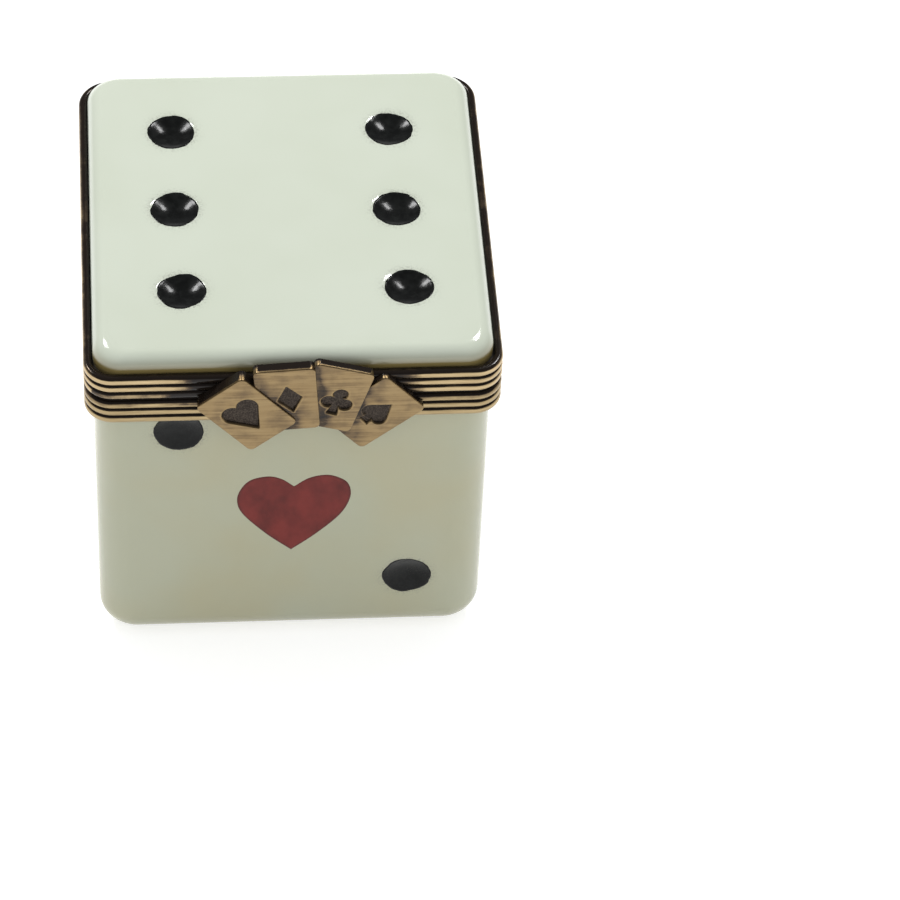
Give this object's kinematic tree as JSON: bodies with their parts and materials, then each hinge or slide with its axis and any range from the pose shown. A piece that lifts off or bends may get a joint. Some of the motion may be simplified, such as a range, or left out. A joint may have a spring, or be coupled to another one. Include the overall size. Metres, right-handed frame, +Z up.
{
  "type": "dice box with hinged lid",
  "caption": "Small hinged porcelain box shaped as a die, with reeded brass mounts, a barrel hinge and a card-fan thumb catch; holds a loose die.",
  "frame": {"origin": "centre of the flat underside", "axes": "+Z up, -Y towards the front where the fan of cards is, +X to the right seen from the front; the hinge runs along X at the back"},
  "size_m": [0.029, 0.0333, 0.0296],
  "materials": {
    "porcelain": "gloss",
    "pip_glaze": "gloss",
    "heart_paint": "gloss",
    "mount_brass": "antique, brushed",
    "clasp_brass": "antique, brushed",
    "hinge_brass": "antique",
    "bedding_cement": "matte"
  },
  "bodies": {
    "base": {"base_shell": "porcelain", "base_cement": "bedding_cement", "base_bezel": "mount_brass", "hinge_base_leaf": "hinge_brass", "hinge_pin": "hinge_brass", "catch_stud": "hinge_brass"},
    "lid": {"lid_shell": "porcelain", "lid_cement": "bedding_cement", "lid_bezel": "mount_brass", "hinge_lid_leaf": "hinge_brass", "card_clasp": "clasp_brass", "catch_fork": "hinge_brass"}
  },
  "joints": [
    {"name": "lid_hinge", "type": "hinge", "parent": "base", "child": "lid", "pos_m": [0, 0.01617, 0.0258], "axis": [-1, 0, 0], "range_deg": [0, 100]}
  ]
}
